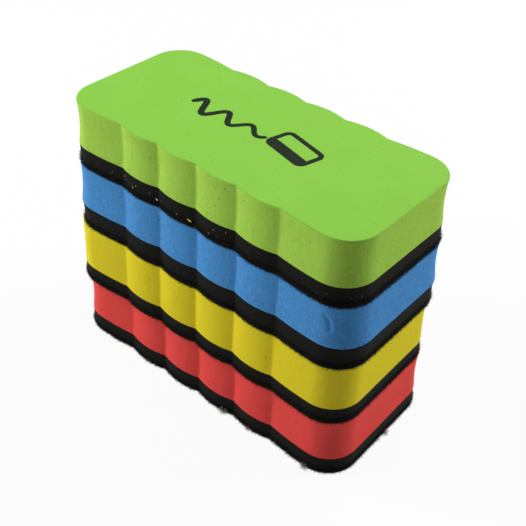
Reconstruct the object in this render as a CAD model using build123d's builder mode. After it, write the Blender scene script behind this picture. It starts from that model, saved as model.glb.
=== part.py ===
"""A stack of four board erasers with scalloped grips, one each in red, yellow, blue and green.

Each eraser is a lamination that was cut to its outline in one stroke: a block of coloured EVA foam to hold,
a sheet of black EVA foam with two round holes for magnets, and a wiping pad of black needled felt. A film of
glue joins each layer to the next. The erasers lie loose on one another, each a little out of line.

Units are millimetres. +Z is up, +X runs along the length of the bottom eraser, and the origin is the centre
of the face that this eraser stands on.
"""

import os
from collections import namedtuple

from build123d import *

# The outline, seen from above. Both long sides have the same row of shallow scallops.
LENGTH = 110.0
WIDTH = 50.0  # across the corners
CORNER_RADIUS = 10.3
SCALLOP_COUNT = 4
SCALLOP_PITCH = 15.0  # from one valley to the next
VALLEY_DEPTH = 1.1  # from the line of the corners in to the valleys
SCALLOP_RISE = 1.25  # from the line of the valleys out to the crests
VALLEY_FILLET = 0.8

# The layers that are the same in every eraser.
GLUE_THICKNESS = 0.15
FELT_THICKNESS = 2.4
GRIP_RIM_FILLET = 0.5
FELT_RIM_FILLET = 0.7

# The magnets lie on the glue above the felt, as near to the board as they can be.
MAGNET_DIAMETER = 18.0
MAGNET_THICKNESS = 3.0
MAGNET_CHAMFER = 0.3
MAGNET_SPACING = 56.0  # between their centres
MAGNET_CLEARANCE = 0.2  # all round each magnet, in the hole that holds it

# The erasers from the bottom up: how thick the foam layers are, and where each lies in the stack.
Eraser = namedtuple("Eraser", "colour grip backing x y turn")
ERASERS = (
    Eraser("red", grip=15.7, backing=3.9, x=0.0, y=0.0, turn=0.0),
    Eraser("yellow", grip=15.7, backing=3.5, x=-0.3, y=-0.8, turn=0.15),
    Eraser("blue", grip=13.9, backing=5.5, x=0.3, y=-0.3, turn=-0.35),
    Eraser("green", grip=14.7, backing=4.3, x=-0.05, y=0.1, turn=-1.1),
)

HALF_LENGTH = LENGTH / 2
HALF_WIDTH = WIDTH / 2
CORNER_START = HALF_LENGTH - CORNER_RADIUS
LAST_VALLEY = SCALLOP_COUNT * SCALLOP_PITCH / 2
VALLEY_LINE = HALF_WIDTH - VALLEY_DEPTH
MAGNET_PLACES = {"left": -MAGNET_SPACING / 2, "right": MAGNET_SPACING / 2}


def eraser_outline():
    """The outline that every layer is cut to, as a face round the origin."""
    with BuildSketch() as outline:
        with BuildLine():
            for number in range(SCALLOP_COUNT):
                valley = -LAST_VALLEY + number * SCALLOP_PITCH
                ThreePointArc(
                    (valley, VALLEY_LINE),
                    (valley + SCALLOP_PITCH / 2, VALLEY_LINE + SCALLOP_RISE),
                    (valley + SCALLOP_PITCH, VALLEY_LINE),
                )
            for end in (-1, 1):
                shoulder = (end * CORNER_START, HALF_WIDTH)
                TangentArc(shoulder, (end * LAST_VALLEY, VALLEY_LINE), tangent=(-end, 0))
                TangentArc(shoulder, (end * HALF_LENGTH, HALF_WIDTH - CORNER_RADIUS), tangent=(end, 0))
            mirror(about=Plane.XZ)
            for end in (-1, 1):
                corner = HALF_WIDTH - CORNER_RADIUS
                Line((end * HALF_LENGTH, -corner), (end * HALF_LENGTH, corner))
        make_face()
        between = (LAST_VALLEY + CORNER_START) / 2
        fillet(outline.vertices().filter_by(lambda point: abs(point.X) < between), VALLEY_FILLET)
    return outline.sketch


def bed(eraser, height):
    """The plane in which a layer of one eraser starts, turned and shifted as that eraser lies."""
    return Plane(Location((eraser.x, eraser.y, height), (0, 0, eraser.turn)))


def felt_pad(plane):
    """The wiping pad. Its lower rim is rounded, as felt wears and frays there first."""
    with BuildPart() as pad:
        with BuildSketch(plane):
            add(OUTLINE)
        extrude(amount=FELT_THICKNESS)
        fillet(pad.faces().sort_by(Axis.Z)[0].edges(), FELT_RIM_FILLET)
    return pad.part


def glue_film(plane):
    """One film of contact glue, over the whole of the layer below it."""
    with BuildPart() as film:
        with BuildSketch(plane):
            add(OUTLINE)
        extrude(amount=GLUE_THICKNESS)
    return film.part


def backing_sheet(plane, thickness):
    """The black foam sheet, with a round hole for each magnet."""
    with BuildPart() as sheet:
        with BuildSketch(plane):
            add(OUTLINE)
            with Locations(*[(place, 0) for place in MAGNET_PLACES.values()]):
                Circle(MAGNET_DIAMETER / 2 + MAGNET_CLEARANCE, mode=Mode.SUBTRACT)
        extrude(amount=thickness)
    return sheet.part


def magnet(plane, place):
    """A flat ferrite disc, with its sharp edges taken off."""
    with BuildPart() as disc:
        with BuildSketch(plane):
            with Locations((place, 0)):
                Circle(MAGNET_DIAMETER / 2)
        extrude(amount=MAGNET_THICKNESS)
        chamfer(disc.edges(), MAGNET_CHAMFER)
    return disc.part


def foam_grip(plane, thickness):
    """The coloured foam block, with a soft upper rim."""
    with BuildPart() as grip:
        with BuildSketch(plane):
            add(OUTLINE)
        extrude(amount=thickness)
        fillet(grip.faces().sort_by(Axis.Z)[-1].edges(), GRIP_RIM_FILLET)
    return grip.part


def save(part, name):
    """Writes one sub-part to its own file, under its own name."""
    part.label = name
    export_step(part, f"parts/{name}.step")


OUTLINE = eraser_outline()
os.makedirs("parts", exist_ok=True)

height = 0.0
for eraser in ERASERS:
    save(felt_pad(bed(eraser, height)), f"{eraser.colour}_felt_pad")
    height += FELT_THICKNESS

    save(glue_film(bed(eraser, height)), f"{eraser.colour}_felt_glue")
    height += GLUE_THICKNESS

    save(backing_sheet(bed(eraser, height), eraser.backing), f"{eraser.colour}_backing_sheet")
    for side, place in MAGNET_PLACES.items():
        save(magnet(bed(eraser, height), place), f"{eraser.colour}_magnet_{side}")
    height += eraser.backing

    save(glue_film(bed(eraser, height)), f"{eraser.colour}_grip_glue")
    height += GLUE_THICKNESS

    save(foam_grip(bed(eraser, height), eraser.grip), f"{eraser.colour}_foam_grip")
    height += eraser.grip
    print(f"{eraser.colour} eraser: top at {height:.2f} mm")
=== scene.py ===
# %% [markdown]
# # A stack of four foam board erasers
#
# Each eraser is a lamination: a coloured EVA foam block to hold, a black EVA foam sheet with two magnets in
# it, and a pad of black felt that wipes the board. All the layers were cut to one outline by a steel rule
# die. The CAD model gives every place and height. This file gives the foam and the felt their real surfaces,
# and the lesson is how a few small Geometry Nodes trees and a little shader maths do that.

import math
import random
from collections import namedtuple

import bmesh
import bpy
from mathutils import Matrix, Vector


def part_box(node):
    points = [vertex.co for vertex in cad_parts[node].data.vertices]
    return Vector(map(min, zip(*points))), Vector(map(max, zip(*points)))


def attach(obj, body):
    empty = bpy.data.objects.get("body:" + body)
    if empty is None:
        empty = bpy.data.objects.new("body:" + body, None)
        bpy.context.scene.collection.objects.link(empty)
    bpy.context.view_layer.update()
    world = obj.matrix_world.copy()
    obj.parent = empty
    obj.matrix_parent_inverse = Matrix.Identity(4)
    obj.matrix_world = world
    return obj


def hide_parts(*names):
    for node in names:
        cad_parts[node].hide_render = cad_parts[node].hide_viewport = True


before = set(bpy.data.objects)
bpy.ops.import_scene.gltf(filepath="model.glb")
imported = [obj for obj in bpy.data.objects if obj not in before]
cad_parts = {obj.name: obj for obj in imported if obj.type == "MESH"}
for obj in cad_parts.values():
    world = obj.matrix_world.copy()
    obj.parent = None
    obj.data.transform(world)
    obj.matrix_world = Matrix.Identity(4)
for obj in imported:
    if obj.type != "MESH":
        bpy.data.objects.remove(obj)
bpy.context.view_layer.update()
MM = 0.001

# %% [markdown]
# ## Where each eraser lies
#
# A loose stack is never quite in line, and the CAD has its small turns and shifts in it. They could be
# written again here as numbers, but then the two models could drift apart. So they are read from the CAD.
# The two magnets of an eraser lie on its long axis, so the line between their centres is its direction, and
# the point half way is its centre. Heights come from the boxes of the layers.

# %% Read the place of each eraser from the frame
COLOURS = ("red", "yellow", "blue", "green")
Bed = namedtuple("Bed", "centre turn felt backing grip")


def centre_of(node):
    """The middle of a CAD node's box."""
    low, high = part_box(node)
    return (Vector(low) + Vector(high)) / 2


def heights_of(node):
    """The heights of the lower and the upper face of a layer."""
    low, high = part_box(node)
    return low[2], high[2]


def bed_of(colour):
    """Where one eraser lies, and the heights of its three soft layers."""
    left = centre_of(f"{colour}_magnet_left")
    right = centre_of(f"{colour}_magnet_right")
    along = right - left
    return Bed(
        centre=(left + right) / 2,
        turn=math.atan2(along.y, along.x),
        felt=heights_of(f"{colour}_felt_pad"),
        backing=heights_of(f"{colour}_backing_sheet"),
        grip=heights_of(f"{colour}_foam_grip"),
    )


BEDS = {colour: bed_of(colour) for colour in COLOURS}
for colour, bed in BEDS.items():
    print(f"{colour}: turned {math.degrees(bed.turn):.2f} degrees, top at {bed.grip[1] / MM:.2f} mm")

# %% [markdown]
# ## The outline of the die
#
# The die has round corners and four shallow scallops on each long side. Its outline could be taken from the
# edges of a CAD face, but a formula gives points that are evenly spaced. Half of it is enough to describe, as
# a height over the long axis: arcs for the scallops, one long arc from the last valley to the corner, and a
# quarter circle. The other half is its mirror image. The loop starts on the long axis, so that points on the
# two sides pair up, which lets the flat faces close along that axis later.

# %% Draw half of the outline as a formula
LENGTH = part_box("red_backing_sheet")[1][0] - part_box("red_backing_sheet")[0][0]
WIDTH = 50 * MM
CORNER_RADIUS = 10.3 * MM
SCALLOP_COUNT = 4
SCALLOP_PITCH = 15 * MM
VALLEY_DEPTH = 1.1 * MM
SCALLOP_RISE = 1.25 * MM
VALLEY_SOFTNESS = 0.1 * MM
OUTLINE_STEP = 0.12 * MM  # between two points of a long side
CORNER_POINTS = 40
END_POINTS = 20  # on one half of a straight end
CORNER_START = LENGTH / 2 - CORNER_RADIUS
LAST_VALLEY = SCALLOP_COUNT * SCALLOP_PITCH / 2
VALLEY_LINE = WIDTH / 2 - VALLEY_DEPTH


def arc_over(x, half_chord, rise):
    """The height of a circular arc over its chord, at a distance x from the middle."""
    radius = (half_chord**2 + rise**2) / (2 * rise)
    return math.sqrt(max(radius**2 - x**2, 0)) - (radius - rise)


def soft_max(a, b, softness):
    """The larger of two numbers, with the corner between them rounded."""
    return (a + b + math.sqrt((a - b) ** 2 + softness**2)) / 2


def shoulder(x):
    """The long arc that leads from the last valley up to the corner."""
    half_chord = CORNER_START - LAST_VALLEY
    return VALLEY_LINE + arc_over(abs(x) - CORNER_START, half_chord, VALLEY_DEPTH)


def scallop(x, number):
    """One scallop, carried on below the valleys so that its neighbours can meet it."""
    middle = (number + 0.5) * SCALLOP_PITCH - LAST_VALLEY
    return VALLEY_LINE + arc_over(x - middle, SCALLOP_PITCH / 2, SCALLOP_RISE)


def long_side(x):
    """How far the long side stands out from the long axis."""
    number = math.floor((x + LAST_VALLEY) / SCALLOP_PITCH)
    arcs = [scallop(x, n) for n in (number - 1, number, number + 1) if 0 <= n < SCALLOP_COUNT]
    if abs(x) > LAST_VALLEY - SCALLOP_PITCH / 2:
        arcs.append(shoulder(x))
    first, second = sorted(arcs)[-2:]
    return soft_max(first, second, VALLEY_SOFTNESS)


# %% Close the outline into a loop of edges
def half_outline():
    """Points from the right end over the far side to the left end."""
    corner = WIDTH / 2 - CORNER_RADIUS
    points = [(LENGTH / 2, corner * n / END_POINTS) for n in range(END_POINTS)]
    for n in range(CORNER_POINTS):
        angle = math.pi / 2 * n / CORNER_POINTS
        x = CORNER_START + CORNER_RADIUS * math.cos(angle)
        y = corner + CORNER_RADIUS * math.sin(angle)
        points.append((x, y))
    count = round(2 * CORNER_START / OUTLINE_STEP)
    for n in range(count // 2 + 1):
        x = CORNER_START * (1 - 2 * n / count)
        points.append((x, long_side(x)))
    return points + [(-x, y) for x, y in reversed(points[:-1])]


def outline_loop(name):
    """The whole outline as a mesh that has only edges."""
    upper = half_outline()
    points = upper + [(x, -y) for x, y in reversed(upper[1:-1])]
    mesh = bpy.data.meshes.new(name)
    edges = [(n, (n + 1) % len(points)) for n in range(len(points))]
    mesh.from_pydata([(x, y, 0) for x, y in points], edges, [])
    return mesh


OUTLINE = outline_loop("die_outline")
print("outline:", len(OUTLINE.vertices), "points")

# %% [markdown]
# ## Sums on sockets
#
# A node tree is a formula, but a formula that is built from single Math nodes is hard to read. This small
# class puts Python's arithmetic on a socket: `1 - mask * 0.4` adds the two Math nodes that it says. Colours
# and vectors must not go through Math nodes, which would turn them grey, so they have helpers of their own.

# %% A value with arithmetic, and a tree that makes nodes
class Value:
    """A socket that carries a number. Every sum on it adds one Math node to its tree."""

    def __init__(self, graph, socket):
        self.graph = graph
        self.socket = socket

    def __add__(self, other):
        return self.graph.maths("ADD", self, other)

    def __sub__(self, other):
        return self.graph.maths("SUBTRACT", self, other)

    def __rsub__(self, other):
        return self.graph.maths("SUBTRACT", other, self)

    def __mul__(self, other):
        return self.graph.maths("MULTIPLY", self, other)

    def __rtruediv__(self, other):
        return self.graph.maths("DIVIDE", other, self)

    def __pow__(self, other):
        return self.graph.maths("POWER", self, other)

    __radd__ = __add__

    def ramp(self, start, end):
        """Rises smoothly from 0 at start to 1 at end. It falls if end is below start."""
        low, high = sorted((start, end))
        sockets = {"Value": self, "From Min": low, "From Max": high}
        made = self.graph.node("ShaderNodeMapRange", {"interpolation_type": "SMOOTHSTEP"}, sockets)
        return made["Result"] if end > start else 1 - made["Result"]


class Made:
    """A new node, whose outputs are read by name or number as values."""

    def __init__(self, graph, node):
        self.graph = graph
        self.node = node

    def __getitem__(self, output):
        return Value(self.graph, self.node.outputs[output])


class Graph:
    """A node tree, with one way to add any node."""

    def __init__(self, tree):
        self.tree = tree

    def node(self, kind, settings=None, sockets=None):
        """Adds a node. Its settings are set first, and then its sockets get their values or links."""
        new = self.tree.nodes.new(kind)
        for name, value in (settings or {}).items():
            setattr(new, name, value)
        for name, value in (sockets or {}).items():
            self.feed(new.inputs[name], value)
        return Made(self, new)

    def feed(self, socket, value):
        """Links a value to a socket, or sets the socket to a plain number, vector or colour."""
        if isinstance(value, Value):
            self.tree.links.new(value.socket, socket)
        else:
            socket.default_value = value

    def maths(self, operation, first, second=0.0):
        return self.node("ShaderNodeMath", {"operation": operation}, {0: first, 1: second})[0]

    def vector(self, operation, first, second=(0, 0, 0), **more):
        """A Vector Math node on vectors."""
        sockets = {0: first, 1: second}
        made = self.node("ShaderNodeVectorMath", {"operation": operation}, sockets)
        for name, value in more.items():
            self.feed(made.node.inputs[name.title()], value)
        return made[0]

    def combine(self, x, y, z):
        return self.node("ShaderNodeCombineXYZ", None, {"X": x, "Y": y, "Z": z})["Vector"]

    def split(self, vector):
        made = self.node("ShaderNodeSeparateXYZ", None, {0: vector})
        return made["X"], made["Y"], made["Z"]

    def blend(self, factor, first, second):
        """One colour over another."""
        sockets = {0: factor, 6: first, 7: second}
        return self.node("ShaderNodeMix", {"data_type": "RGBA"}, sockets)[2]

    def shaded(self, colour, shade):
        """A colour, made lighter or darker by a number."""
        return self.vector("MULTIPLY", colour, self.combine(shade, shade, shade))

    def bumps(self, relief, strength, depth):
        """The direction of a surface that follows a relief."""
        sockets = {"Strength": strength, "Distance": depth, "Height": relief}
        return self.node("ShaderNodeBump", None, sockets)["Normal"]


# %% Trees for Geometry Nodes
SOCKET_KINDS = {
    "geometry": "NodeSocketGeometry",
    "object": "NodeSocketObject",
    "material": "NodeSocketMaterial",
    "length": "NodeSocketFloat",
    "number": "NodeSocketFloat",
    "count": "NodeSocketInt",
}


def geometry_graph(name, **inputs):
    """A new Geometry Nodes tree with named inputs, and the values that those inputs give."""
    tree = bpy.data.node_groups.new(name, "GeometryNodeTree")
    tree.interface.new_socket("Geometry", in_out="INPUT", socket_type="NodeSocketGeometry")
    tree.interface.new_socket("Geometry", in_out="OUTPUT", socket_type="NodeSocketGeometry")
    for title, kind in inputs.items():
        tree.interface.new_socket(title.replace("_", " "), in_out="INPUT", socket_type=SOCKET_KINDS[kind])
    graph = Graph(tree)
    group = graph.node("NodeGroupInput")
    values = {title: group[title.replace("_", " ")] for title in inputs}
    return graph, group["Geometry"], values


def finish_graph(graph, geometry, material):
    """Paints the result and ends the tree."""
    painted = graph.node("GeometryNodeSetMaterial", None, {"Geometry": geometry, "Material": material})
    graph.node("NodeGroupOutput", None, {"Geometry": painted[0]})
    return graph.tree


def random_number(graph, lowest, highest, seed):
    """A number between two limits, drawn anew for each point."""
    sockets = {2: lowest, 3: highest, "Seed": seed}
    return graph.node("FunctionNodeRandomValue", {"data_type": "FLOAT"}, sockets)[1]


def random_vector(graph, lowest, highest, seed):
    """A vector between two limits, drawn anew for each point."""
    sockets = {0: lowest, 1: highest, "Seed": seed}
    return graph.node("FunctionNodeRandomValue", {"data_type": "FLOAT_VECTOR"}, sockets)[0]


# %% Run a tree
def put_in_scene(name, data):
    """A new object at the origin, from a mesh, a light or a camera."""
    thing = bpy.data.objects.new(name, data)
    bpy.context.scene.collection.objects.link(thing)
    return thing


def run_tree(tree, mesh, name, **inputs):
    """Runs a tree on a mesh and returns the result as a plain mesh object."""
    holder = put_in_scene(name + "_holder", mesh)
    modifier = holder.modifiers.new("tree", "NODES")
    modifier.node_group = tree
    identifiers = {item.name: item.identifier for item in tree.interface.items_tree if item.in_out == "INPUT"}
    for title, value in inputs.items():
        modifier[identifiers[title.replace("_", " ")]] = value
    depsgraph = bpy.context.evaluated_depsgraph_get()
    result = bpy.data.meshes.new_from_object(holder.evaluated_get(depsgraph), depsgraph=depsgraph)
    bpy.data.objects.remove(holder)
    result.name = name
    print(f"{name}: {len(result.polygons)} faces")
    return put_in_scene(name, result)


# %% [markdown]
# ## A layer, cut by the die
#
# Every layer is the same outline, carried along a profile. The profile is a row of points, and each one says
# how far in from the outline a ring of the surface runs, how far it has closed towards the long axis, and how
# high it lies. The tree lays out a grid whose columns follow the outline and whose rows follow the profile.
# Foam bulges under the steel rule and springs back when it is cut, so its walls come out hollow: a dish. An
# extrusion with a bevel would be shorter, but its walls would be flat.

# %% A tree that carries a profile round an outline
LAYER_INPUTS = {
    "profile": "object",
    "columns": "count",
    "axis_half_length": "length",
    "wobble": "length",
    "wobble_size": "length",
    "seed": "number",
    "material": "material",
}
SEAM = 0.001 * MM  # points that lie nearer to each other than this become one


def layer_tree():
    """Builds a closed block from an outline loop and a profile."""
    graph, outline, given = geometry_graph("die_cut_layer", **LAYER_INPUTS)
    profile = graph.node("GeometryNodeObjectInfo", None, {"Object": given["profile"]})["Geometry"]
    rows = graph.node("GeometryNodeAttributeDomainSize", None, {"Geometry": profile})["Point Count"]
    grid = graph.node(
        "GeometryNodeMeshGrid",
        None,
        {"Size X": 1.0, "Size Y": 1.0, "Vertices X": given["columns"] + 1, "Vertices Y": rows},
    )
    x, y, _ = graph.split(graph.node("GeometryNodeInputPosition")["Position"])
    row = graph.maths("ROUND", (y + 0.5) * (rows - 1))
    ring = graph.node(
        "GeometryNodeSampleIndex",
        {"data_type": "FLOAT_VECTOR"},
        {"Geometry": profile, "Value": graph.node("GeometryNodeInputPosition")["Position"], "Index": row},
    )
    inset, closing, height = graph.split(ring[0])
    curve = graph.node("GeometryNodeMeshToCurve", None, {"Mesh": outline})["Curve"]
    around = graph.node("GeometryNodeSampleCurve", {"mode": "FACTOR"}, {"Curves": curve, "Factor": x + 0.5})
    along_x, along_y, _ = graph.split(around["Tangent"])
    place_x, place_y, _ = graph.split(around["Position"])
    turned = graph.maths("SIGN", along_y * place_x - along_x * place_y)
    outer_x = place_x - along_y * turned * inset
    outer_y = place_y + along_x * turned * inset
    limit = given["axis_half_length"]
    axis_x = graph.maths("MAXIMUM", graph.maths("MINIMUM", place_x, limit), 0 - limit)
    position = graph.combine(
        outer_x + (axis_x - outer_x) * closing,
        outer_y - outer_y * closing,
        height,
    )
    block = graph.node("GeometryNodeSetPosition", None, {"Geometry": grid["Mesh"], "Position": position})
    sealed = graph.node("GeometryNodeMergeByDistance", None, {"Geometry": block[0], "Distance": SEAM})
    unevenness = graph.node(
        "ShaderNodeTexNoise",
        {"noise_dimensions": "4D"},
        {"W": given["seed"], "Scale": 1 / given["wobble_size"], "Detail": 2.0},
    )
    normal_x, normal_y, _ = graph.split(graph.node("GeometryNodeInputNormal")[0])
    push = (unevenness[0] - 0.5) * 2 * given["wobble"]
    offset = graph.combine(normal_x * push, normal_y * push, 0.0)
    uneven = graph.node("GeometryNodeSetPosition", None, {"Geometry": sealed[0], "Offset": offset})
    smooth = graph.node("GeometryNodeSetShadeSmooth", None, {"Geometry": uneven[0]})
    real = graph.node("GeometryNodeRealizeInstances", None, {"Geometry": smooth[0]})
    return finish_graph(graph, real[0], given["material"])


LAYER_TREE = layer_tree()
print("layer tree:", len(LAYER_TREE.nodes), "nodes")

# %% Profiles
# Foot and brow are how far in a wall lies at its lower and upper end, and dish is how much further in it lies
# half way. A lip hangs below the layer, just outside the film of glue, and hides its edge.
Wall = namedtuple("Wall", "foot brow dish foot_radius rim_radius rows wobble wobble_size lip", defaults=(0,))
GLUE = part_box("red_felt_glue")[1][2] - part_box("red_felt_glue")[0][2]  # how thick a film is
LIP_INSET = -0.02 * MM
CLOSING_STEPS = (1.0, 0.85, 0.6, 0.35, 0.18, 0.08, 0.03, 0.008)
COLUMNS = 720
ARC_STEPS = 4
print(f"glue film: {GLUE / MM:.2f} mm")


def wall_inset(wall, share):
    """How far in the wall lies, from its foot at 0 to its brow at 1."""
    return wall.foot + (wall.brow - wall.foot) * share + wall.dish * 4 * share * (1 - share)


def profile_points(wall, low, high):
    """The rings of a block from the middle of its lower face round to the middle of its upper face."""
    sole = LIP_INSET if wall.lip else wall.foot + wall.foot_radius
    points = [(sole, closing, low) for closing in CLOSING_STEPS]
    low -= wall.lip
    for n in range(ARC_STEPS + 1):
        angle = math.pi / 2 * n / ARC_STEPS
        inset = wall.foot + wall.foot_radius * (1 - math.sin(angle))
        points.append((inset, 0, low + wall.foot_radius * (1 - math.cos(angle))))
    start = low + wall.foot_radius
    end = high - wall.rim_radius
    for n in range(1, wall.rows):
        share = n / wall.rows
        points.append((wall_inset(wall, share), 0, start + (end - start) * share))
    for n in range(ARC_STEPS + 1):
        angle = math.pi / 2 * n / ARC_STEPS
        inset = wall.brow + wall.rim_radius * (1 - math.cos(angle))
        points.append((inset, 0, end + wall.rim_radius * math.sin(angle)))
    points += [(wall.brow + wall.rim_radius, closing, high) for closing in reversed(CLOSING_STEPS)]
    return points


# %% Cut one layer
def outward(mesh):
    """Turns every face of a closed mesh outwards."""
    work = bmesh.new()
    work.from_mesh(mesh)
    bmesh.ops.recalc_face_normals(work, faces=work.faces)
    work.to_mesh(mesh)
    work.free()


def lay_of(bed):
    """The move from an eraser's own frame to its place in the stack."""
    return Matrix.Translation((bed.centre.x, bed.centre.y, 0)) @ Matrix.Rotation(bed.turn, 4, "Z")


def die_cut(name, bed, wall, heights, seed, material):
    """One layer of an eraser, in its place in the stack."""
    profile_mesh = bpy.data.meshes.new(name + "_profile")
    profile_mesh.from_pydata(profile_points(wall, *heights), [], [])
    profile = put_in_scene(name + "_profile", profile_mesh)
    piece = run_tree(
        LAYER_TREE,
        OUTLINE,
        name,
        profile=profile,
        columns=COLUMNS,
        axis_half_length=(LENGTH - WIDTH) / 2,
        wobble=wall.wobble,
        wobble_size=wall.wobble_size,
        seed=float(seed),
        material=material,
    )
    bpy.data.objects.remove(profile)
    outward(piece.data)
    piece.data.transform(lay_of(bed))
    return piece


# %% [markdown]
# ## Finishes
#
# Closed-cell foam is a mass of bubbles a fifth of a millimetre across. Where the die went through them the
# walls show cut cells, fine upright lines, and a few dark pits where a larger bubble was opened. The moulded
# skin on the flat face is smoother. A picture wrapped round the block could show this, but noise that is
# worked out from the place on the object, in millimetres, has no seam and stays sharp from near by.

# %% Start a material
def start_material(name):
    """An empty material and its tree."""
    material = bpy.data.materials.new(name)
    material.use_nodes = True
    material.node_tree.nodes.clear()
    return material, Graph(material.node_tree)


def finish_material(graph, fixed, **varying):
    """Adds the surface shader. Fixed sockets are plain numbers, and the others take links."""
    sockets = dict(fixed)
    sockets.update({title.replace("_", " ").title(): value for title, value in varying.items()})
    shader = graph.node("ShaderNodeBsdfPrincipled", None, sockets)
    graph.node("ShaderNodeOutputMaterial", None, {"Surface": shader["BSDF"]})


def place_in_mm(graph):
    """The place on the object in millimetres, and its direction, both in the object's own frame."""
    coordinates = graph.node("ShaderNodeTexCoord")
    return graph.vector("SCALE", coordinates["Object"], scale=1 / MM), coordinates["Normal"]


def noise(graph, vector, scale, detail=2.0):
    """Smooth noise from 0 to 1, with scale bumps to a millimetre."""
    sockets = {"Vector": vector, "Scale": scale, "Detail": detail}
    return graph.node("ShaderNodeTexNoise", None, sockets)[0]


def specks(graph, vector, scale, share, size):
    """1 in small scattered spots and 0 elsewhere. The share is that of the cells which hold a spot."""
    cells = graph.node("ShaderNodeTexVoronoi", None, {"Vector": vector, "Scale": scale})
    chance = graph.node("ShaderNodeSeparateColor", None, {0: cells["Color"]})["Red"]
    kept = graph.maths("GREATER_THAN", chance, 1 - share)
    return kept * cells["Distance"].ramp(size, size * 0.35)


# %% Coloured foam
FoamLook = namedtuple("FoamLook", "skin cut speckle lines grain")


def foam_material(name, look):
    """EVA foam: the colour of its skin, and of the walls where it was cut."""
    material, graph = start_material(name)
    place, direction = place_in_mm(graph)
    upright = graph.maths("ABSOLUTE", graph.split(direction)[2])
    wall = upright.ramp(0.85, 0.55)
    stretched = graph.vector("MULTIPLY", place, (1, 1, 0.09))
    lines = noise(graph, stretched, 1.7, 4.0)
    cloud = noise(graph, place, 0.07, 2.0)
    grain = noise(graph, graph.vector("MULTIPLY", place, (1, 1, 0.7)), 1.5, 3.0)
    cells = graph.node("ShaderNodeTexVoronoi", None, {"Vector": place, "Scale": 4.5})["Distance"]
    crowd = noise(graph, graph.vector("MULTIPLY", place, (1, 1, 0.4)), 0.22, 2.0).ramp(0.48, 0.72)
    share = (0.015 + crowd * wall * 0.24) * look.speckle
    fine = specks(graph, graph.vector("MULTIPLY", place, (1, 1, 0.6)), 1.9, share, 0.42)
    large = specks(graph, graph.vector("MULTIPLY", place, (1, 1, 0.5)), 0.9, share * 0.35, 0.26)
    dark = graph.maths("MINIMUM", fine * 0.6 + large, 1.0)
    open_cells = 0.2 + wall * 0.8
    grain_shade = (grain - 0.5) * open_cells * look.grain
    shade = 1 + (cloud - 0.5) * 0.08 + (lines - 0.5) * wall * look.lines + grain_shade
    colour = graph.shaded(graph.blend(wall, look.skin, look.cut), shade)
    pit_colour = tuple(0.25 * c for c in look.cut[:3]) + (1,)
    colour = graph.blend(dark * 0.85, colour, pit_colour)
    relief = (cells * 0.4 + grain * 0.8) * open_cells + lines * wall * 1.2 - dark * 1.6
    finish_material(
        graph,
        {"Specular IOR Level": 0.1},
        base_color=colour,
        roughness=0.74 + wall * 0.14 - grain * 0.1,
        normal=graph.bumps(relief, 0.4, 0.06 * MM),
    )
    return material


# %% Black foam
DUST_ON_BLACK = (0.09, 0.08, 0.06, 1)


def black_foam_material(name, colour):
    """The backing sheet: the same foam in black, with dust on it."""
    material, graph = start_material(name)
    place, _ = place_in_mm(graph)
    stretched = graph.vector("MULTIPLY", place, (1, 1, 0.15))
    lines = noise(graph, stretched, 1.6, 3.0)
    grain = noise(graph, place, 3.0, 3.0)
    cloud = noise(graph, place, 0.12, 2.0)
    dust = specks(graph, place, 1.6, 0.05, 0.2)
    shade = 1 + (cloud - 0.5) * 0.5 + (lines - 0.5) * 0.5 + (grain - 0.5) * 0.4
    base = graph.blend(dust * 0.5, graph.shaded(colour, shade), DUST_ON_BLACK)
    finish_material(
        graph,
        {"Specular IOR Level": 0.09},
        base_color=base,
        roughness=0.86 - grain * 0.15,
        normal=graph.bumps(grain * 0.7 + lines * 0.6, 0.35, 0.06 * MM),
    )
    return material


# %% Felt
def felt_material(name, colour, sheen):
    """Needled felt: fibres that cross each other, seen as short smears in two directions."""
    material, graph = start_material(name)
    place, _ = place_in_mm(graph)
    one_way = noise(graph, graph.vector("MULTIPLY", place, (1, 0.25, 0.5)), 3.5, 3.0)
    other_way = noise(graph, graph.vector("MULTIPLY", place, (0.25, 1, 0.5)), 3.5, 3.0)
    tufts = noise(graph, place, 0.8, 2.0)
    shade = 0.55 + one_way * 0.45 + other_way * 0.45 + (tufts - 0.5) * 0.8
    finish_material(
        graph,
        {"Specular IOR Level": 0.1, "Sheen Weight": sheen, "Sheen Roughness": 0.5},
        base_color=graph.shaded(colour, shade),
        roughness=0.95 - tufts * 0.06,
        normal=graph.bumps(one_way + other_way + tufts * 1.5, 0.7, 0.15 * MM),
    )
    return material


# %% Ferrite and glue, for the parts that show when an eraser is taken apart
FERRITE_GREY = (0.05, 0.05, 0.055)
GLUE_BROWN = (0.02, 0.017, 0.012)


def ferrite_material():
    """Sintered ferrite: dark, dull, with grinding marks on its flat faces."""
    material, graph = start_material("ferrite")
    place, _ = place_in_mm(graph)
    marks = noise(graph, graph.vector("MULTIPLY", place, (0.15, 1, 1)), 5.0, 3.0)
    grain = noise(graph, place, 2.5, 3.0)
    base = graph.shaded(FERRITE_GREY, 0.7 + marks * 0.35 + grain * 0.25)
    normal = graph.bumps(marks + grain, 0.3, 0.05 * MM)
    finish_material(graph, {}, base_color=base, roughness=0.45 + grain * 0.25, normal=normal)
    return material


def glue_material():
    """Dried contact glue: smoky brown, with brush strokes."""
    material, graph = start_material("contact_glue")
    place, _ = place_in_mm(graph)
    strokes = noise(graph, graph.vector("MULTIPLY", place, (0.2, 1, 1)), 1.2, 3.0)
    cloud = noise(graph, place, 0.3, 2.0)
    base = graph.shaded(GLUE_BROWN, 0.7 + strokes * 0.3 + cloud * 0.3)
    normal = graph.bumps(strokes, 0.4, 0.05 * MM)
    finish_material(graph, {}, base_color=base, roughness=0.35 + cloud * 0.3, normal=normal)
    return material


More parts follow.
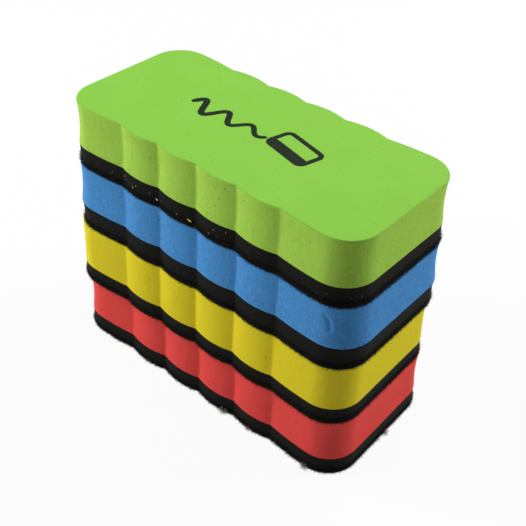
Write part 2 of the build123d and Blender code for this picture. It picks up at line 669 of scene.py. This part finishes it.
# %% Make every finish
def colour_of(*chart):
    """A linear colour from the red, green and blue of a paint chart, each from 0 to 255."""
    shares = [number / 255 for number in chart]
    linear = [share / 12.92 if share <= 0.04045 else ((share + 0.055) / 1.055) ** 2.4 for share in shares]
    return (*linear, 1.0)


FOAM_LOOKS = {
    "red": FoamLook(colour_of(217, 70, 66), colour_of(225, 74, 69), speckle=0.5, lines=0.1, grain=0.16),
    "yellow": FoamLook(colour_of(216, 200, 34), colour_of(217, 200, 36), speckle=0.45, lines=0.1, grain=0.12),
    "blue": FoamLook(colour_of(74, 140, 198), colour_of(70, 137, 197), speckle=1.6, lines=0.28, grain=0.6),
    "green": FoamLook(colour_of(147, 213, 80), colour_of(155, 198, 74), speckle=1.4, lines=0.16, grain=0.26),
}
FOAMS = {colour: foam_material(f"{colour}_foam", look) for colour, look in FOAM_LOOKS.items()}
BLACK_FOAM = black_foam_material("black_foam", (0.0052, 0.005, 0.0042))
FELT = felt_material("black_felt", (0.0045, 0.0043, 0.0038), sheen=0.03)
FERRITE = ferrite_material()
DRIED_GLUE = glue_material()
print("materials:", sorted(material.name for material in bpy.data.materials))

# %% Paint the CAD parts that stay
KEPT_PARTS = {
    "felt_glue": DRIED_GLUE,
    "grip_glue": DRIED_GLUE,
    "magnet_left": FERRITE,
    "magnet_right": FERRITE,
}
for colour in COLOURS:
    for node, finish in KEPT_PARTS.items():
        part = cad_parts[f"{colour}_{node}"]
        part.data.materials.clear()
        part.data.materials.append(finish)
print("CAD parts painted:", len(COLOURS) * len(KEPT_PARTS))

# %% [markdown]
# ## The layers of each eraser
#
# The walls differ a little from one eraser to the next, as the foam does: the foot flares under the die by up
# to half a millimetre, and the dish is deeper in some than in others. One wall for all would be simpler, but
# the four blocks would look like copies. The near wall of the blue block also has a nick, which is pressed
# into its finished mesh.

# %% The walls of the layers
EDGE = 0.05 * MM  # how round the cut edges are
RIM = 0.45 * MM  # how round the rim under the hand is


def grip_wall(foot, dish, rows=16, wobble=0.1, wobble_size=14):
    """A wall of coloured foam, from sizes in millimetres."""
    return Wall(foot * MM, 0, dish * MM, EDGE, RIM, rows, wobble * MM, wobble_size * MM, GLUE)


def backing_wall(foot, brow):
    """A wall of black foam, from sizes in millimetres."""
    return Wall(foot * MM, brow * MM, 0.06 * MM, EDGE, EDGE, 7, 0.06 * MM, 8 * MM, GLUE)


# The blue grip has more rows than the others, because a nick is pressed into them.
GRIP_WALLS = {
    "red": grip_wall(-0.15, 0.45),
    "yellow": grip_wall(-0.25, 0.15),
    "blue": grip_wall(-0.55, 0.35, rows=28, wobble=0.12, wobble_size=12),
    "green": grip_wall(-0.2, 0.5),
}
BACKING_WALLS = {
    "red": backing_wall(-0.12, -0.12),
    "yellow": backing_wall(-0.1, -0.2),
    "blue": backing_wall(-0.1, -0.45),
    "green": backing_wall(-0.12, -0.15),
}
FELT_WALL = Wall(-0.25 * MM, -0.05 * MM, -0.12 * MM, 0.3 * MM, 0.1 * MM, 6, 0.14 * MM, 1.4 * MM)


def declare(piece, colour, node):
    """Lets a soft piece ride on its eraser, and hides the CAD part that it takes the place of."""
    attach(piece, f"{colour}_eraser")
    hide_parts(f"{colour}_{node}")


# %% The nick in the blue block
NICK = ((46.6, 9.8), (47.7, 9.0), (48.3, 5.6))  # along the eraser, and above the foot of its foam
NICK_DEPTH = 0.42 * MM
NICK_WIDTH = 0.55 * MM
RIDGE_ASIDE = 1.1 * MM
RIDGE_SHARE = 0.25  # of the depth of the nick
FLAT_FACE = 0.5  # a normal that points up or down more than this belongs to a flat face
PRESSED = 0.1  # a point that is pressed more than this is counted


def distance_to_path(x, z, path):
    """How far a point of the wall is from a line drawn on it."""
    nearest = math.inf
    for (x1, z1), (x2, z2) in zip(path, path[1:]):
        run = Vector((x2 - x1, z2 - z1))
        away = Vector((x - x1, z - z1))
        share = min(max(away.dot(run) / run.length_squared, 0), 1)
        nearest = min(nearest, (away - run * share).length)
    return nearest


def crease(spot, path):
    """How strongly a place on the wall is pressed, from 0 to 1 on the line itself."""
    return math.exp(-((distance_to_path(spot.x, spot.z, path) / NICK_WIDTH) ** 2))


def nick(piece, bed):
    """Presses a short crease into the near wall of a block, with a low ridge beside it."""
    back = lay_of(bed).inverted()
    path = [(x * MM, bed.grip[0] + z * MM) for x, z in NICK]
    beside = [(x + RIDGE_ASIDE, z) for x, z in path]
    normals = [vertex.normal.copy() for vertex in piece.data.vertices]
    moved = 0
    for vertex, normal in zip(piece.data.vertices, normals):
        spot = back @ vertex.co
        if spot.y > 0 or abs(normal.z) > FLAT_FACE:
            continue
        depth = crease(spot, path)
        ridge = crease(spot, beside)
        vertex.co -= normal * (depth * NICK_DEPTH - ridge * NICK_DEPTH * RIDGE_SHARE)
        moved += depth > PRESSED
    print(f"nick: {moved} points pressed in")


# %% Cut all twelve layers
FELT_PIECES = {}
for number, (colour, bed) in enumerate(BEDS.items()):
    grip = die_cut(f"{colour}_grip", bed, GRIP_WALLS[colour], bed.grip, number, FOAMS[colour])
    if colour == "blue":
        nick(grip, bed)
    declare(grip, colour, "foam_grip")
    backing = die_cut(f"{colour}_backing", bed, BACKING_WALLS[colour], bed.backing, number + 10, BLACK_FOAM)
    declare(backing, colour, "backing_sheet")
    felt = die_cut(f"{colour}_felt", bed, FELT_WALL, bed.felt, number + 20, FELT)
    declare(felt, colour, "felt_pad")
    FELT_PIECES[colour] = felt

# %% [markdown]
# ## Loose fibres
#
# The die cuts felt cleanly, but use soon pulls fibres out of its edge, and they hang over the foam below like
# a fringe. Hair curves could show them, but the meshes that leave this file need faces. One bent fibre of a
# few faces is enough. Geometry Nodes scatter it over the edge of the pad, each copy turned and stretched in
# its own way.

# %% A tree that grows fuzz on a surface
FUZZ_INPUTS = {
    "density": "number",
    "shortest": "length",
    "longest": "length",
    "slimness": "number",
    "spread": "number",
    "droop": "number",
    "bends": "count",
    "lowest": "length",
    "seed": "count",
    "material": "material",
}
FLATTEST = 0.93  # faces that lie flatter than this grow nothing
FIBRE_BEND = {"Start": (0, 0, -0.1), "Middle": (0.1, 0, 0.55), "End": (0.5, 0.15, 0.9)}
HALF_TURN = 3.14  # in radians


def copies_on(graph, points, shape, rotation, turn, size):
    """A copy of a shape on every point, turned further in its own frame, as plain mesh."""
    sockets = {"Rotation": rotation, "Rotate By": turn}
    turned = graph.node("FunctionNodeRotateEuler", {"space": "LOCAL"}, sockets)[0]
    sockets = {"Points": points["Points"], "Instance": shape, "Rotation": turned, "Scale": size}
    placed = graph.node("GeometryNodeInstanceOnPoints", None, sockets)[0]
    return graph.node("GeometryNodeRealizeInstances", None, {"Geometry": placed})[0]


def fuzz_tree():
    """Scatters bent fibres over the upright faces of a mesh and returns only the fibres."""
    graph, pad, given = geometry_graph("felt_fuzz", **FUZZ_INPUTS)
    normal = graph.node("GeometryNodeInputNormal")[0]
    upright = graph.maths("ABSOLUTE", graph.split(normal)[2])
    edge = graph.node("FunctionNodeCompare", {"operation": "LESS_THAN"}, {"A": upright, "B": FLATTEST})[0]
    sockets = {"Mesh": pad, "Selection": edge, "Density": given["density"], "Seed": given["seed"]}
    points = graph.node("GeometryNodeDistributePointsOnFaces", None, sockets)
    sockets = {"Resolution": given["bends"], **FIBRE_BEND}
    arc = graph.node("GeometryNodeCurveQuadraticBezier", None, sockets)[0]
    ring = graph.node("GeometryNodeCurvePrimitiveCircle", None, {"Resolution": 3, "Radius": 1.0})[0]
    sockets = {"Curve": arc, "Profile Curve": ring, "Scale": given["slimness"], "Fill Caps": True}
    fibre = graph.node("GeometryNodeCurveToMesh", None, sockets)[0]
    stray = random_vector(graph, (-1, -1, -1), (1, 1, 1), given["seed"] + 1)
    stray = graph.vector("SCALE", stray, scale=given["spread"])
    down = graph.combine(0.0, 0.0, 0 - given["droop"])
    heading = graph.vector("ADD", graph.vector("ADD", points["Normal"], stray), down)
    aimed = graph.node("FunctionNodeAlignRotationToVector", {"axis": "Z"}, {"Vector": heading})[0]
    spin = random_number(graph, -HALF_TURN, HALF_TURN, given["seed"] + 3)
    size = random_number(graph, given["shortest"], given["longest"], given["seed"] + 2)
    real = copies_on(graph, points, fibre, aimed, graph.combine(0.0, 0.0, spin), size)
    x, y, z = graph.split(graph.node("GeometryNodeInputPosition")["Position"])
    lifted = graph.combine(x, y, graph.maths("MAXIMUM", z, given["lowest"]))
    resting = graph.node("GeometryNodeSetPosition", None, {"Geometry": real, "Position": lifted})[0]
    return finish_graph(graph, resting, given["material"])


FUZZ_TREE = fuzz_tree()
print("fuzz tree:", len(FUZZ_TREE.nodes), "nodes")

# %% Fuzz on the edge of every pad
HANG = 1.1 * MM  # how far a fibre may hang below its pad
ABOVE_TABLE = 0.02 * MM  # how near to the table a fibre may lie

# Density is in fibres to a square millimetre. Slimness is a fibre's radius as a share of its length.
Fuzz = namedtuple("Fuzz", "density shortest longest slimness spread droop bends")
NAP = Fuzz(15.0, 0.22 * MM, 0.82 * MM, 0.04, 0.8, 1.0, 2)
STRAYS = Fuzz(0.22, 0.5 * MM, 1.05 * MM, 0.022, 1.1, 0.8, 4)


def ride_along(piece, colour):
    """A small piece that goes with an eraser and stands for no CAD node."""
    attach(piece, f"{colour}_eraser")


def grow(name, colour, mesh, fuzz, seed, material):
    """Fibres over a mesh, which go with one eraser."""
    inputs = fuzz._asdict()
    inputs["density"] = fuzz.density / MM**2
    inputs["lowest"] = max(BEDS[colour].felt[0] - HANG, ABOVE_TABLE)
    piece = run_tree(FUZZ_TREE, mesh, name, seed=seed, material=material, **inputs)
    ride_along(piece, colour)


for number, (colour, pad) in enumerate(FELT_PIECES.items()):
    grow(f"{colour}_nap", colour, pad.data, NAP, 40 + number * 10, FELT)
    grow(f"{colour}_strays", colour, pad.data, STRAYS, 45 + number * 10, FELT)

# %% [markdown]
# ## Crumbs, and lint that is partly painted shadow
#
# Erasers that are stacked shed on each other. Yellow, pale and orange crumbs of foam cling to the black
# edge of the top eraser, and the lowest pad has a fringe of grey lint with clumps and tufts in it. That grey
# is partly painted shadow: it stands for the soft shadow along the foot of the pad. Crumbs painted in the
# material would have no thickness at the edge, so they are shapes. The ones that catch the eye have places
# of their own, and a tree scatters dust between them.

# %% A tree that scatters chips
CHIP_INPUTS = {
    "density": "number",
    "smallest": "length",
    "largest": "length",
    "lowest": "length",
    "highest": "length",
    "seed": "count",
    "material": "material",
}
NEAR_SIDE = -0.3  # a face belongs to the near long side if its normal has a Y below this
CHIP_SHAPE = (1, 0.62, 0.45)
CHIP_TILT = 0.6


def chip_tree():
    """Scatters small flat chips over the near long side of a mesh, between two heights."""
    graph, surface, given = geometry_graph("crumbs", **CHIP_INPUTS)
    normal_y = graph.split(graph.node("GeometryNodeInputNormal")[0])[1]
    height = graph.split(graph.node("GeometryNodeInputPosition")["Position"])[2]
    near = graph.maths("LESS_THAN", normal_y, NEAR_SIDE)
    above = graph.maths("GREATER_THAN", height, given["lowest"])
    below = graph.maths("LESS_THAN", height, given["highest"])
    chosen = near * above * below
    sockets = {"Mesh": surface, "Selection": chosen, "Density": given["density"], "Seed": given["seed"]}
    points = graph.node("GeometryNodeDistributePointsOnFaces", None, sockets)
    ball = graph.node("GeometryNodeMeshIcoSphere", None, {"Radius": 0.5, "Subdivisions": 1})["Mesh"]
    flat = graph.node("GeometryNodeTransform", None, {"Geometry": ball, "Scale": CHIP_SHAPE})[0]
    least = (-CHIP_TILT, -CHIP_TILT, -HALF_TURN)
    most = (CHIP_TILT, CHIP_TILT, HALF_TURN)
    tilt = random_vector(graph, least, most, given["seed"] + 1)
    chance = random_number(graph, 0.0, 1.0, given["seed"] + 2)
    size = given["smallest"] + (given["largest"] - given["smallest"]) * chance**3
    real = copies_on(graph, points, flat, points["Rotation"], tilt, size)
    return finish_graph(graph, real, given["material"])


CHIP_TREE = chip_tree()
print("chip tree:", len(CHIP_TREE.nodes), "nodes")


# %% Finishes of the crumbs and the lint; the grey of the lint is partly painted shadow
def crumb_material(name, colour):
    """A torn crumb of foam, paler where it is torn."""
    material, graph = start_material(name)
    place, _ = place_in_mm(graph)
    torn = noise(graph, place, 4.0, 3.0)
    base = graph.shaded(colour[:3], 0.7 + torn * 0.6)
    finish_material(graph, {"Specular IOR Level": 0.2}, base_color=base, roughness=0.8 + torn * 0.1)
    return material


YELLOW_CRUMB = crumb_material("yellow_crumb", colour_of(238, 216, 92))
PALE_CRUMB = crumb_material("pale_crumb", colour_of(214, 202, 172))
ORANGE_CRUMB = crumb_material("orange_crumb", colour_of(188, 128, 62))
# The grey of the lint and of the dusty fibres is partly painted shadow at the foot of the lowest pad.
LINT_AND_SHADOW = crumb_material("lint", colour_of(186, 182, 170))
DUST_AND_SHADOW_FIBRE = crumb_material("dusty_fibre", colour_of(158, 152, 134))

# %% Dust on the black edge of the top eraser
# Each finish, with its number of chips to a square millimetre.
DUST = ((YELLOW_CRUMB, 0.045), (PALE_CRUMB, 0.06), (ORANGE_CRUMB, 0.02))
DUST_SEEDS = {"backing": 97, "felt": 94}
DUST_FOOT = BEDS["green"].felt[0]
for number, (finish, density) in enumerate(DUST):
    for layer, seed in DUST_SEEDS.items():
        dust = run_tree(
            CHIP_TREE,
            bpy.data.objects[f"green_{layer}"].data,
            f"green_{layer}_{finish.name}",
            density=density / MM**2,
            smallest=0.1 * MM,
            largest=0.42 * MM,
            lowest=DUST_FOOT + 0.6 * MM,
            highest=DUST_FOOT + 4.5 * MM,
            seed=seed + number * 10,
            material=finish,
        )
        ride_along(dust, "green")

# %% Crumbs that catch the eye
Crumb = namedtuple("Crumb", "along up length height turn")  # in millimetres and degrees
NEAR_EDGE_CRUMBS = {
    "yellow": (
        Crumb(-2.2, 2.0, 1.9, 0.5, 8),
        Crumb(-6.5, 2.3, 0.5, 0.3, 60),
        Crumb(10.9, 0.9, 0.7, 0.3, 95),
    ),
    "pale": (
        Crumb(-15.7, 2.4, 0.9, 0.5, 20),
        Crumb(-25.0, 2.8, 0.9, 0.25, 100),
        Crumb(6.1, 2.0, 0.4, 0.25, 30),
    ),
    "orange": (
        Crumb(-29.0, 4.5, 0.8, 0.25, 110),
        Crumb(12.2, 5.2, 0.9, 0.25, 105),
        Crumb(17.0, 1.6, 0.5, 0.3, 70),
    ),
}
CRUMB_FINISHES = {"yellow": YELLOW_CRUMB, "pale": PALE_CRUMB, "orange": ORANGE_CRUMB}
CRUMB_DEPTH = 0.22 * MM
TORN = (0.7, 1.15)  # how far in or out the points of a torn crumb lie
WALL_STAND = 0.15 * MM  # how far the black layers stand outside the line of the die


def mesh_of(work, name):
    """Turns work in bmesh into a mesh."""
    mesh = bpy.data.meshes.new(name)
    work.to_mesh(mesh)
    work.free()
    return mesh


def crumb_shape(work, crumb, bed, chance):
    """Adds one torn crumb to the near long side of an eraser."""
    ball = bmesh.ops.create_icosphere(work, subdivisions=2, radius=0.5)["verts"]
    for vertex in ball:
        vertex.co *= chance.uniform(*TORN)
    x = crumb.along * MM
    spot = Vector((x, -long_side(x) - WALL_STAND, bed.felt[0] + crumb.up * MM))
    size = Matrix.Diagonal((crumb.length * MM, CRUMB_DEPTH, crumb.height * MM, 1))
    turn = Matrix.Rotation(math.radians(crumb.turn), 4, "Y")
    bmesh.ops.transform(work, matrix=lay_of(bed) @ Matrix.Translation(spot) @ turn @ size, verts=ball)


for number, (finish, crumbs) in enumerate(NEAR_EDGE_CRUMBS.items()):
    work = bmesh.new()
    chance = random.Random(number)
    for crumb in crumbs:
        crumb_shape(work, crumb, BEDS["green"], chance)
    mesh = mesh_of(work, f"green_{finish}_flakes")
    mesh.materials.append(CRUMB_FINISHES[finish])
    ride_along(put_in_scene(mesh.name, mesh), "green")
    print(f"{mesh.name}: {len(crumbs)} crumbs")

# %% Tufts of lint on the lowest pad, whose grey is partly painted shadow at its foot
TUFT_FUZZ = Fuzz(70.0, 0.6 * MM, 1.5 * MM, 0.03, 0.9, 0.1, 4)
TUFT_HEIGHT = 0.5 * MM
Tuft = namedtuple("Tuft", "along across radius")  # in millimetres
TUFTS = (
    Tuft(11.8, -25.2, 0.5),
    Tuft(44.7, -25.3, 0.55),
    Tuft(-21.8, -25.3, 0.2),
    Tuft(55.3, 1.4, 0.45),
    Tuft(55.2, -2.2, 0.2),
    Tuft(22.5, -25.3, 0.3),
    Tuft(-36.0, 25.2, 0.5),
)

work = bmesh.new()
for tuft in TUFTS:
    heart = Matrix.Translation((tuft.along * MM, tuft.across * MM, TUFT_HEIGHT))
    bmesh.ops.create_icosphere(work, subdivisions=2, radius=tuft.radius * MM, matrix=heart)
grow("red_lint_tufts", "red", mesh_of(work, "tuft_hearts"), TUFT_FUZZ, 7, LINT_AND_SHADOW)

# %% Small clumps along its foot, so that the fringe is ragged; their grey is partly painted shadow
CLUMP_COUNT = 150
CLUMP_HEIGHTS = (0.1, 0.4)  # in millimetres, as the next line
CLUMP_RADII = (0.08, 0.36)
CLUMP_FUZZ = Fuzz(60.0, 0.35 * MM, 0.95 * MM, 0.06, 0.9, 0.1, 3)

work = bmesh.new()
chance = random.Random(12)
for _ in range(CLUMP_COUNT):
    place = lay_of(BEDS["red"]) @ chance.choice(OUTLINE.vertices).co
    place.z = chance.uniform(*CLUMP_HEIGHTS) * MM
    size = chance.uniform(*CLUMP_RADII) * MM
    bmesh.ops.create_icosphere(work, subdivisions=1, radius=size, matrix=Matrix.Translation(place))
grow("red_lint_clumps", "red", mesh_of(work, "clump_hearts"), CLUMP_FUZZ, 9, LINT_AND_SHADOW)

# %% Dusty fibres between them, whose grey-brown is partly painted shadow along the foot of the pad
LINT_AND_SHADOW_FRINGE = Fuzz(4.0, 0.3 * MM, 0.95 * MM, 0.04, 1.0, 0.4, 3)
FRINGE_TOP = 0.5 * MM  # the fringe grows on the felt below this height


def foot_of(piece, top):
    """The faces of a piece that lie below a height, as a mesh of their own."""
    work = bmesh.new()
    work.from_mesh(piece.data)
    above = [face for face in work.faces if face.calc_center_median().z > top]
    bmesh.ops.delete(work, geom=above, context="FACES")
    return mesh_of(work, f"{piece.name}_foot")


grow("red_lint", "red", foot_of(FELT_PIECES["red"], FRINGE_TOP), LINT_AND_SHADOW_FRINGE, 8, DUST_AND_SHADOW_FIBRE)

# %% [markdown]
# ## The mark on top
#
# Such erasers carry a printed mark. Here it is a plain pictogram: an eraser that wipes a wavy line away. It
# could be a mask in the foam's material, but a shape keeps its edge sharp and can be left off. Ink lies on
# foam as a film, so each stroke is a closed sliver that stands a few hundredths of a millimetre high.

# %% Strokes of ink
INK_HEIGHT = 0.03 * MM  # above the foam
INK_ROOT = 0.05 * MM  # below its surface


def stroke(work, points, widths, low, high, loop=False):
    """Adds one closed sliver along a line of points, as wide as the widths say."""
    count = len(points)
    rings = []
    for n, (x, y) in enumerate(points):
        before = points[n - 1] if loop or n else points[0]
        after = points[(n + 1) % count] if loop or n < count - 1 else points[-1]
        run = Vector((after[0] - before[0], after[1] - before[1])).normalized() * widths[n] / 2
        left = (x - run.y, y + run.x)
        right = (x + run.y, y - run.x)
        corners = ((*left, low), (*right, low), (*right, high), (*left, high))
        rings.append([work.verts.new(corner) for corner in corners])
    for n in range(count if loop else count - 1):
        here, there = rings[n], rings[(n + 1) % count]
        for a in range(4):
            b = (a + 1) % 4
            work.faces.new((here[a], here[b], there[b], there[a]))
    if not loop:
        work.faces.new(rings[0])
        work.faces.new(reversed(rings[-1]))


def round_ended(count, width, taper):
    """The widths of a stroke that has round ends and thins towards its end."""
    widths = []
    for n in range(count):
        share = n / (count - 1)
        end = min(1.0, (min(n, count - 1 - n) + 0.3) / 3)  # the outer three points make the round end
        widths.append(width * (1 - taper * share) * math.sqrt(1 - (1 - end) ** 2))
    return widths


def wave(start, end, height, crests, fading, steps=110):
    """A wavy line that calms down towards its end."""
    points = []
    for n in range(steps + 1):
        share = n / steps
        swing = math.sin(share * crests * 2 * math.pi) * height * (1 - fading * share)
        points.append((start + (end - start) * share, swing))
    return points


def rounded_box(centre, size, radius, turn, steps=8):
    """The outline of a turned box with round corners."""
    points = []
    spin = Matrix.Rotation(turn, 2)
    for quarter, (sx, sy) in enumerate(((1, 1), (-1, 1), (-1, -1), (1, -1))):
        for n in range(steps + 1):
            angle = math.pi / 2 * (quarter + n / steps)
            x = sx * (size[0] / 2 - radius) + radius * math.cos(angle)
            y = sy * (size[1] / 2 - radius) + radius * math.sin(angle)
            points.append(tuple(spin @ Vector((x, y)) + Vector(centre)))
    return points


# %% The ink
INK_COLOUR = colour_of(30, 44, 28)
BARE_PORE = colour_of(96, 132, 60)


def ink_material():
    """Dark green-black ink, which has soaked into the pores and missed a few."""
    material, graph = start_material("ink")
    place, _ = place_in_mm(graph)
    misses = specks(graph, place, 2.0, 0.06, 0.3)
    cloud = noise(graph, place, 0.9, 3.0)
    base = graph.shaded(INK_COLOUR[:3], 0.75 + cloud * 0.5)
    base = graph.blend(misses * 0.7, base, BARE_PORE)
    finish_material(graph, {"Specular IOR Level": 0.2}, base_color=base, roughness=0.55 + cloud * 0.2)
    return material


# %% Print the pictogram
STROKE = 1.6 * MM
TRAIL_START = -25 * MM
TRAIL_END = 5.0 * MM
TRAIL_HEIGHT = 3.9 * MM
TRAIL_CRESTS = 3.0
TRAIL_FADING = 0.65
TRAIL_STROKE = STROKE * 1.35
TRAIL_TAPER = 0.3
BLOCK_CENTRE = (14.5 * MM, 0.8 * MM)
BLOCK_SIZE = (15.5 * MM, 8.6 * MM)
BLOCK_CORNER = 1.8 * MM
BLOCK_TURN = math.radians(-14)
PAD_DROP = -2.3 * MM
PAD_WIDTH = 2.4 * MM
PAD_STEPS = 8
PAD_RAISE = 0.005 * MM  # lifts the pad clear of the strokes that it crosses


def print_mark(bed):
    """The pictogram on the flat face of one eraser."""
    top = bed.grip[1]
    low, high = top - INK_ROOT, top + INK_HEIGHT
    work = bmesh.new()
    trail = wave(TRAIL_START, TRAIL_END, TRAIL_HEIGHT, TRAIL_CRESTS, TRAIL_FADING)
    stroke(work, trail, round_ended(len(trail), TRAIL_STROKE, TRAIL_TAPER), low, high)
    box = rounded_box(BLOCK_CENTRE, BLOCK_SIZE, BLOCK_CORNER, BLOCK_TURN)
    stroke(work, box, [STROKE] * len(box), low, high, loop=True)
    spin = Matrix.Rotation(BLOCK_TURN, 2)
    half = BLOCK_SIZE[0] / 2
    ends = [spin @ Vector((x, PAD_DROP)) + Vector(BLOCK_CENTRE) for x in (-half, half)]
    band = [tuple(ends[0].lerp(ends[1], n / PAD_STEPS)) for n in range(PAD_STEPS + 1)]
    stroke(work, band, [PAD_WIDTH] * len(band), low, high + PAD_RAISE)
    bmesh.ops.transform(work, matrix=lay_of(bed), verts=work.verts)
    bmesh.ops.recalc_face_normals(work, faces=work.faces)
    mesh = mesh_of(work, "green_mark")
    mesh.materials.append(ink_material())
    ride_along(put_in_scene("green_mark", mesh), "green")
    print(f"mark: {len(mesh.polygons)} faces")


print_mark(BEDS["green"])

# %% [markdown]
# ## The table and the light
#
# The stack stands on a plain white table. One soft lamp stands low to the front left and one low behind the
# right end. A third, weaker one stands higher behind. So each scallop is bright on one flank and dark on the
# other, and the near corner of the stack, which none of them faces, is the darkest place. Light from all
# round would be simpler, but it would leave the scallops flat.

# %% The table
FLOOR_WHITENESS = 0.92
FLOOR_SIZE = 3.0
FLOOR_DROP = -0.02 * MM  # keeps the floor from lying in one plane with the felt
FLOOR_PAINT = (0.86, 0.86, 0.86, 1)


def white_stage():
    """The floor is white to the camera, and keeps a part of the shadow that falls on it."""
    material, graph = start_material("white_table")
    path = graph.node("ShaderNodeLightPath")
    rays = path["Is Camera Ray"] + path["Is Glossy Ray"] + path["Is Transmission Ray"]
    seen = graph.maths("MINIMUM", rays, 1.0)
    matte = graph.node("ShaderNodeBsdfDiffuse", None, {"Color": FLOOR_PAINT})
    glow = graph.node("ShaderNodeEmission", None, {"Color": (1, 1, 1, 1), "Strength": 1.0})
    sockets = {0: seen * FLOOR_WHITENESS, 1: matte["BSDF"], 2: glow["Emission"]}
    mixed = graph.node("ShaderNodeMixShader", None, sockets)
    graph.node("ShaderNodeOutputMaterial", None, {"Surface": mixed["Shader"]})
    return material


mesh = bpy.data.meshes.new("table")
half = FLOOR_SIZE / 2
corners = [(x, y, FLOOR_DROP) for x, y in ((-half, -half), (half, -half), (half, half), (-half, half))]
mesh.from_pydata(corners, [], [(0, 1, 2, 3)])
mesh.materials.append(white_stage())
table = put_in_scene("table", mesh)
print(f"table: {FLOOR_SIZE} m square")


# %% World and lamps
def white_world(brightness):
    """A world that is white to the camera and lights the object a little from all round."""
    world = bpy.data.worlds.new("studio")
    bpy.context.scene.world = world
    world.use_nodes = True
    world.node_tree.nodes.clear()
    graph = Graph(world.node_tree)
    path = graph.node("ShaderNodeLightPath")
    seen = graph.maths("MINIMUM", path["Is Camera Ray"] + path["Is Transmission Ray"], 1.0)
    strength = brightness + seen * (1 - brightness)
    background = graph.node("ShaderNodeBackground", None, {"Color": (1, 1, 1, 1), "Strength": strength})
    graph.node("ShaderNodeOutputWorld", None, {"Surface": background["Background"]})


WORLD_BRIGHTNESS = 0.03
Lamp = namedtuple("Lamp", "name azimuth elevation distance width power")
STAGE_CENTRE = Vector((0, 0, 45 * MM))
LAMPS = (
    Lamp("left", -60, 25, 0.9, 0.6, 9.3),
    Lamp("right", 145, 25, 0.9, 0.5, 6.8),
    Lamp("behind", 190, 50, 0.9, 0.5, 2.2),
)


def direction_of(azimuth, elevation):
    """The direction towards an angle round the stack, where 0 is the near long side and 90 the right end."""
    a = math.radians(azimuth)
    e = math.radians(elevation)
    return Vector((math.sin(a) * math.cos(e), -math.cos(a) * math.cos(e), math.sin(e)))


def hang(lamp):
    """Adds one square soft lamp that points at the stack."""
    light = bpy.data.lights.new(lamp.name, "AREA")
    light.shape = "SQUARE"
    light.size = lamp.width
    light.energy = lamp.power
    rig = put_in_scene(lamp.name, light)
    away = direction_of(lamp.azimuth, lamp.elevation)
    rig.location = STAGE_CENTRE + away * lamp.distance
    rig.rotation_euler = away.to_track_quat("Z", "Y").to_euler()


white_world(WORLD_BRIGHTNESS)
for lamp in LAMPS:
    hang(lamp)
print("lamps:", ", ".join(lamp.name for lamp in LAMPS))

# %% [markdown]
# ## The camera
#
# It looks down at the near corner from about a quarter of a metre, with a small roll, as a person would look
# at a stack on a table. The lens is a short portrait lens. The frame could be centred by turning the camera,
# but that would change how far the upright edges converge, so the frame is shifted instead.

# %% Camera
CAMERA_AIM = Vector((29.68, -27.99, 88.0)) * MM
CAMERA_DISTANCE = 236.2 * MM
CAMERA_AZIMUTH = 37.96
CAMERA_ELEVATION = 36.06
CAMERA_ROLL = math.radians(2.66)
CAMERA_LENS = 64.1
CAMERA_SHIFT = (-0.0163, -0.0913)
CAMERA_NEAR = 0.01  # nothing nearer than this is drawn


def place_camera():
    """The camera, aimed and rolled."""
    camera = bpy.data.cameras.new("camera")
    camera.lens = CAMERA_LENS
    camera.shift_x, camera.shift_y = CAMERA_SHIFT
    camera.clip_start = CAMERA_NEAR
    rig = put_in_scene("camera", camera)
    away = direction_of(CAMERA_AZIMUTH, CAMERA_ELEVATION)
    level = Vector((0, 0, 1)).cross(away).normalized()
    upward = away.cross(level)
    right = level * math.cos(CAMERA_ROLL) + upward * math.sin(CAMERA_ROLL)
    top = upward * math.cos(CAMERA_ROLL) - level * math.sin(CAMERA_ROLL)
    rotation = Matrix((right, top, away)).transposed().to_4x4()
    rig.matrix_world = Matrix.Translation(CAMERA_AIM + away * CAMERA_DISTANCE) @ rotation
    bpy.context.scene.camera = rig


place_camera()
print(f"camera: {CAMERA_LENS} mm lens, {CAMERA_DISTANCE / MM:.0f} mm from its aim")
bpy.context.scene.view_settings.view_transform = "Standard"
